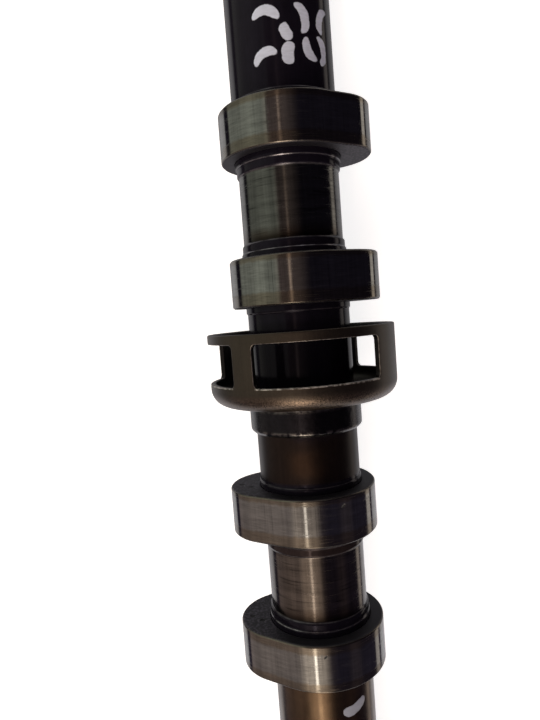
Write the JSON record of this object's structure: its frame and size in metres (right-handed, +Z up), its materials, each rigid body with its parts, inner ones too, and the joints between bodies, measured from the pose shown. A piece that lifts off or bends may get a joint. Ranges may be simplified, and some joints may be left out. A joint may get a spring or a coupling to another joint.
{
  "type": "camshaft",
  "caption": "Built-up engine camshaft: a steel tube with pressed-on cams in pairs, ground journals between them and a windowed sheet-steel trigger wheel at mid length.",
  "frame": {"origin": "on the shaft's axis, in the drive face at the front end", "axes": "+X along the shaft from the drive face to the rear end, +Z up as the shaft lies, with the cam noses nearest the drive end pointing up"},
  "size_m": [0.394, 0.0478, 0.0478],
  "materials": {
    "tube_steel": "drawn steel tube, dark brown-black with old engine oil; ground bright and lightly scored on the journals",
    "cam_steel": "hardened steel, ground cam track worn to a grey-green shine with brown edges, dark sides",
    "wheel_sheet": "drawn sheet steel, satin, stained bronze-brown by oil",
    "turned_steel": "turned and ground steel, lightly oiled, a spanner hexagon behind the front journal",
    "dowel_steel": "ground hardened steel"
  },
  "bodies": {
    "root": {"shaft_tube": "tube_steel", "cam_1a": "cam_steel", "cam_1b": "cam_steel", "cam_2a": "cam_steel", "cam_2b": "cam_steel", "cam_3a": "cam_steel", "cam_3b": "cam_steel", "cam_4a": "cam_steel", "cam_4b": "cam_steel", "trigger_wheel": "wheel_sheet", "drive_end": "turned_steel", "drive_dowel": "dowel_steel", "end_plug": "turned_steel"}
  },
  "joints": []
}
